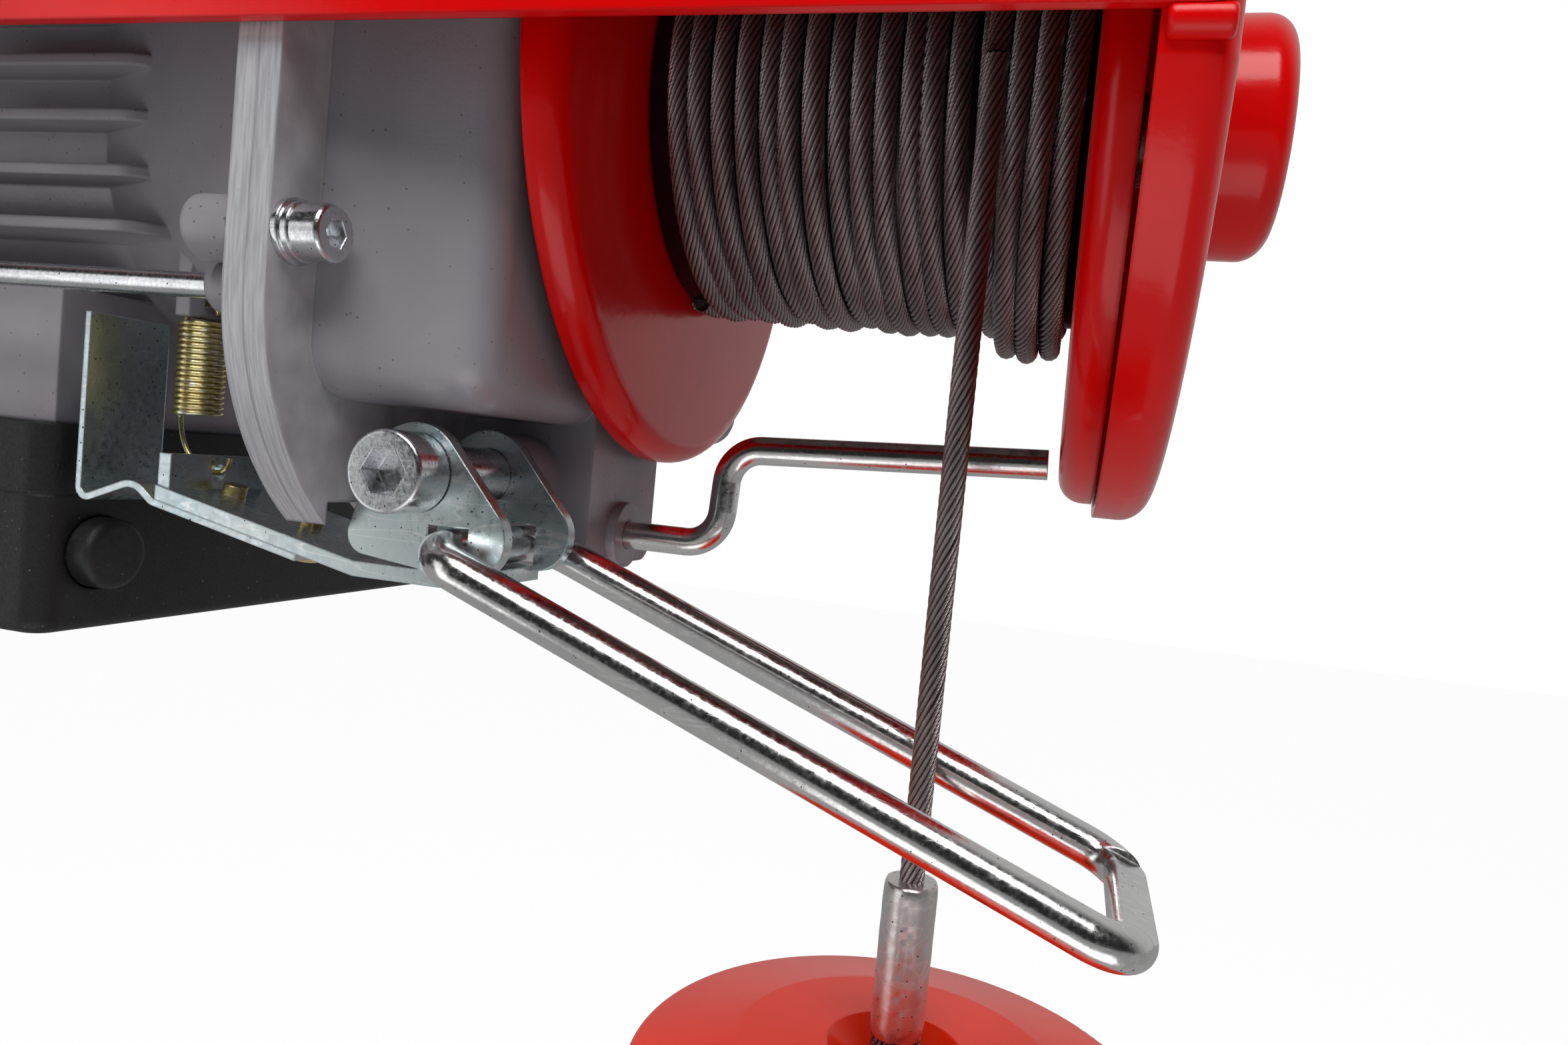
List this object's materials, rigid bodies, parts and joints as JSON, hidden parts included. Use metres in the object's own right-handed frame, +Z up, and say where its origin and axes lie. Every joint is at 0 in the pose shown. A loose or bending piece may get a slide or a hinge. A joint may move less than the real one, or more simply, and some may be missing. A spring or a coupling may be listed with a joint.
{
  "type": "electric wire rope hoist",
  "caption": "Small electric wire rope hoist: finned motor and gear case under a steel channel, rope drum, limit lever with stirrup, control box and swivel hook.",
  "frame": {"origin": "beam seat: centre of the frame's top face, midway between the two hangers", "axes": "+X along the drum's axis from the motor towards the end plate, +Y from the rope side to the back, +Z up"},
  "size_m": [0.3785, 0.1648, 0.4031],
  "materials": {
    "frame_red": "gloss powder coat",
    "casting_grey": "painted die casting",
    "zinc_steel": "blue zinc plating",
    "plain_steel": "machined",
    "polished_rod": "nickel plated, scratched",
    "yellow_zinc": "yellow chromate",
    "box_black": "fine texture",
    "rubber_black": "matt",
    "rope_steel": "oiled strands",
    "ferrule_aluminium": "pressed",
    "disc_orange": "gloss",
    "copper": "enamelled wire",
    "core_steel": "laminated",
    "bronze": "sintered",
    "fan_plastic": "moulded"
  },
  "bodies": {
    "hoist_frame": {"frame_channel": "frame_red", "end_plate": "frame_red", "weld_beads": "frame_red", "bearing_cap": "frame_red", "hangers": "zinc_steel", "frame_bolts": "zinc_steel", "gear_case": "casting_grey", "motor_housing": "casting_grey", "motor_end_cover": "casting_grey", "fan_cover": "box_black", "tie_rods": "zinc_steel", "case_screws": "zinc_steel", "case_washers": "zinc_steel", "stator_core": "core_steel", "stator_windings": "copper", "brake_magnet": "plain_steel", "counter_bushes": "bronze", "bearing_outers": "plain_steel", "pivot_bolt": "zinc_steel", "pivot_sleeve": "zinc_steel", "control_box": "box_black", "box_lid": "box_black", "lid_screws": "zinc_steel", "cable_glands": "box_black", "limit_switches": "box_black", "capacitor": "box_black"},
    "armature": {"brake_armature": "plain_steel"},
    "rotor": {"rotor_core": "core_steel", "motor_shaft": "plain_steel", "cooling_fan": "fan_plastic", "rotor_bearing_inners": "plain_steel"},
    "gear_shaft": {"countershaft": "plain_steel", "countershaft_gear": "plain_steel"},
    "drum": {"output_gear": "plain_steel", "drum_shaft": "plain_steel", "drum_barrel": "plain_steel", "drum_flange_left": "frame_red", "drum_flange_right": "frame_red", "rope_winding": "rope_steel", "drum_bearing_inners": "plain_steel"},
    "hook_block": {"rope_free": "rope_steel", "ferrule": "ferrule_aluminium", "rope_loop": "rope_steel", "thimble": "zinc_steel", "stop_disc": "disc_orange", "hook_block_front": "frame_red", "hook_block_back": "frame_red", "block_fasteners": "zinc_steel"},
    "swivel_hook": {"hook": "zinc_steel", "hook_nut": "plain_steel", "latch_pin": "plain_steel"},
    "safety_latch": {"latch": "zinc_steel"},
    "limit_lever": {"lever_bracket": "zinc_steel", "stirrup": "polished_rod", "switch_plate": "zinc_steel", "lever_screws": "yellow_zinc", "lever_spring": "yellow_zinc"},
    "crank_rod": {"limit_rod": "zinc_steel"},
    "switch_button": {"upper_plunger": "rubber_black"}
  },
  "joints": [
    {"name": "motor_rotor", "type": "hinge", "parent": "hoist_frame", "child": "rotor", "pos_m": [-0.12, 0, -0.077], "axis": [-1, 0, 0], "range_deg": [-23000, 1200]},
    {"name": "countershaft_turn", "type": "hinge", "parent": "hoist_frame", "child": "gear_shaft", "pos_m": [-0.015, 0, -0.122], "axis": [-1, 0, 0], "range_deg": [-190, 3560]},
    {"name": "drum_turn", "type": "hinge", "parent": "hoist_frame", "child": "drum", "pos_m": [0.06, 0, -0.077], "axis": [-1, 0, 0], "range_deg": [-712, 40]},
    {"name": "hook_lift", "type": "slide", "parent": "hoist_frame", "child": "hook_block", "axis": [0, 0, 1], "range_m": [-0.495, 0.0262], "deforming": ["rope_free"]},
    {"name": "hook_swivel", "type": "hinge", "parent": "hook_block", "child": "swivel_hook", "pos_m": [0.0896, -0.03963, -0.307], "axis": [0, 0, 1], "continuous": true},
    {"name": "latch_open", "type": "hinge", "parent": "swivel_hook", "child": "safety_latch", "pos_m": [0.0881, -0.03963, -0.3145], "axis": [0, 1, 0], "range_deg": [0, 40], "stiffness_Nm_per_rad": 0.02, "springref_deg": -22.92},
    {"name": "limit_lever_tilt", "type": "hinge", "parent": "hoist_frame", "child": "limit_lever", "pos_m": [0.007, -0.047, -0.1494], "axis": [0, -1, 0], "range_deg": [0, 12], "stiffness_Nm_per_rad": 0.5, "springref_deg": -11.46, "deforming": ["lever_spring"]},
    {"name": "limit_rod_turn", "type": "hinge", "parent": "hoist_frame", "child": "crank_rod", "pos_m": [0.02, -0.00903, -0.1594], "axis": [-1, 0, 0], "range_deg": [0, 25], "stiffness_Nm_per_rad": 0.05, "springref_deg": -17.19},
    {"name": "switch_press", "type": "slide", "parent": "hoist_frame", "child": "switch_button", "axis": [-1, 0, 0], "range_m": [0, 0.003], "stiffness_N_per_m": 400, "springref_m": -0.001},
    {"name": "brake_release", "type": "slide", "parent": "hoist_frame", "child": "armature", "axis": [1, 0, 0], "range_m": [0, 0.0007], "stiffness_N_per_m": 4000, "springref_m": -0.001}
  ],
  "couplings": [
    {"joint": "countershaft_turn", "follows": "motor_rotor", "ratio": -0.15385},
    {"joint": "drum_turn", "follows": "motor_rotor", "ratio": 0.030769},
    {"joint": "hook_lift", "follows": "motor_rotor", "m_per_rad": 0.0012193}
  ]
}
